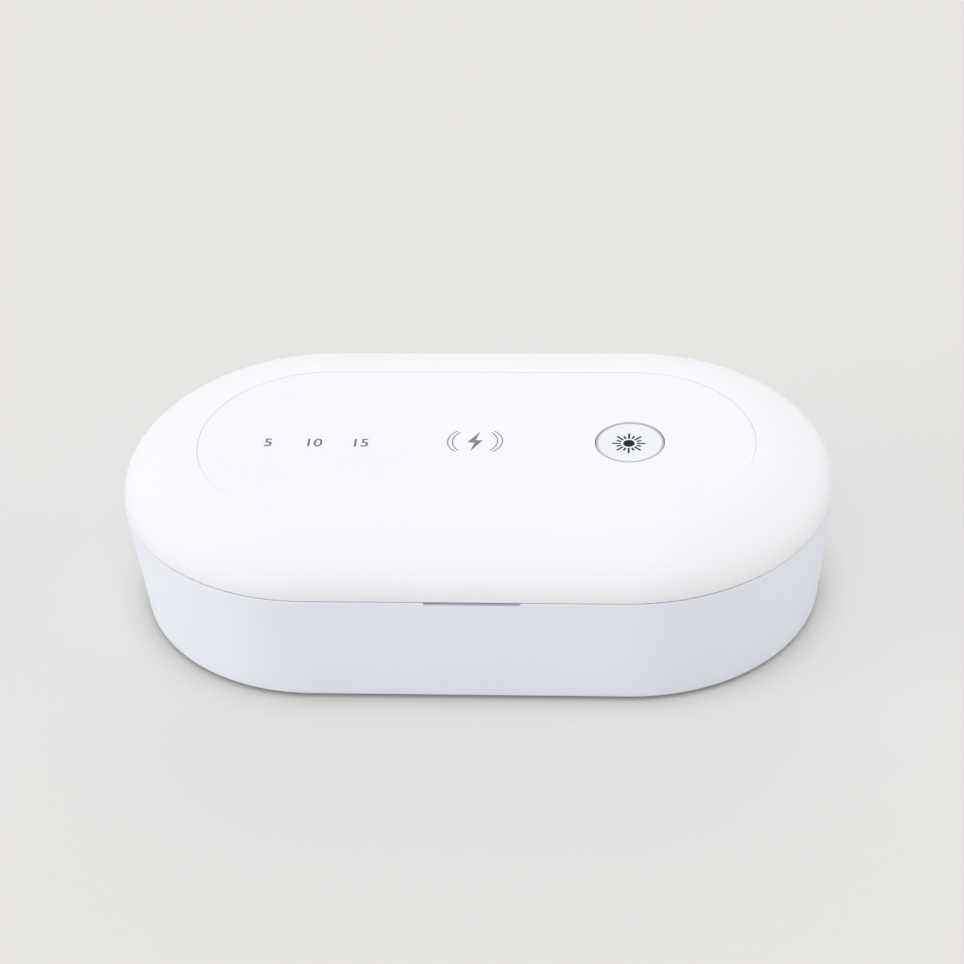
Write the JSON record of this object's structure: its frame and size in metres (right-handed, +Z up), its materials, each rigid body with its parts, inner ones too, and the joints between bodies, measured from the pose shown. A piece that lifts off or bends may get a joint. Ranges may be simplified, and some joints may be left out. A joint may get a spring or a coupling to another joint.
{
  "type": "uv sanitizer box for phones",
  "caption": "Stadium-shaped box with a hinged domed lid, mirrored ultraviolet chamber, flat charging panel on top and a round press button.",
  "frame": {"origin": "centre of the footprint on the surface the box stands on", "axes": "+X along the box's length to the right, +Y towards the hinge at the back, +Z up; the button is on the right"},
  "size_m": [0.22, 0.126, 0.0545],
  "materials": {
    "base_shell": "satin white",
    "base_liner": "satin white",
    "base_mirror": "polished aluminium",
    "phone_rests": "clear grey silicone",
    "base_lamp_boards": "white solder mask on aluminium",
    "base_lamps": "gold-plated lamp packages",
    "base_windows": "clear quartz",
    "base_strip_screws": "zinc plated",
    "rubber_feet": "matte grey rubber",
    "base_screws": "zinc plated",
    "main_board": "green solder mask",
    "main_board_screws": "zinc plated",
    "main_board_chips": "black moulded packages",
    "usb_c_shell": "drawn steel",
    "usb_c_tongue": "black moulded plastic",
    "hinge_pins": "ground steel",
    "base_magnets": "nickel plated",
    "lid_closed_sensor": "black moulded package",
    "lid_shell": "satin white",
    "charging_panel": "satin white",
    "lid_liner": "satin white",
    "lid_seal": "grey silicone",
    "lid_mirror": "polished aluminium",
    "lid_screws": "zinc plated",
    "lid_lamp_boards": "white solder mask on aluminium",
    "lid_lamps": "gold-plated lamp packages",
    "lid_windows": "clear quartz",
    "lid_strip_screws": "zinc plated",
    "charging_coil": "enamelled copper wire",
    "ferrite_disc": "dark ferrite",
    "lid_board": "green solder mask",
    "lid_board_screws": "zinc plated",
    "lid_board_chips": "black moulded packages",
    "lid_magnets": "nickel plated",
    "button_ring": "bright chrome",
    "button_switch": "black moulded plastic",
    "uv_button": "satin pale grey",
    "switch_plunger": "plain plastic"
  },
  "bodies": {
    "base": {"base_shell": "base_shell", "base_liner": "base_liner", "base_mirror": "base_mirror", "phone_rests": "phone_rests", "base_lamp_boards": "base_lamp_boards", "base_lamps": "base_lamps", "base_windows": "base_windows", "base_strip_screws": "base_strip_screws", "rubber_feet": "rubber_feet", "base_screws": "base_screws", "main_board": "main_board", "main_board_screws": "main_board_screws", "main_board_chips": "main_board_chips", "usb_c_shell": "usb_c_shell", "usb_c_tongue": "usb_c_tongue", "hinge_pins": "hinge_pins", "base_magnets": "base_magnets", "lid_closed_sensor": "lid_closed_sensor"},
    "lid": {"lid_shell": "lid_shell", "charging_panel": "charging_panel", "lid_liner": "lid_liner", "lid_seal": "lid_seal", "lid_mirror": "lid_mirror", "lid_screws": "lid_screws", "lid_lamp_boards": "lid_lamp_boards", "lid_lamps": "lid_lamps", "lid_windows": "lid_windows", "lid_strip_screws": "lid_strip_screws", "charging_coil": "charging_coil", "ferrite_disc": "ferrite_disc", "lid_board": "lid_board", "lid_board_screws": "lid_board_screws", "lid_board_chips": "lid_board_chips", "lid_magnets": "lid_magnets", "button_ring": "button_ring", "button_switch": "button_switch"},
    "button": {"uv_button": "uv_button", "switch_plunger": "switch_plunger"}
  },
  "joints": [
    {"name": "lid_hinge", "type": "hinge", "parent": "base", "child": "lid", "pos_m": [0, 0.0614, 0.04013], "axis": [-1, 0, 0], "range_deg": [0, 105]},
    {"name": "button_press", "type": "slide", "parent": "lid", "child": "button", "axis": [0, 0, -1], "range_m": [0, 0.0005], "stiffness_N_per_m": 300, "springref_m": -0.001}
  ]
}
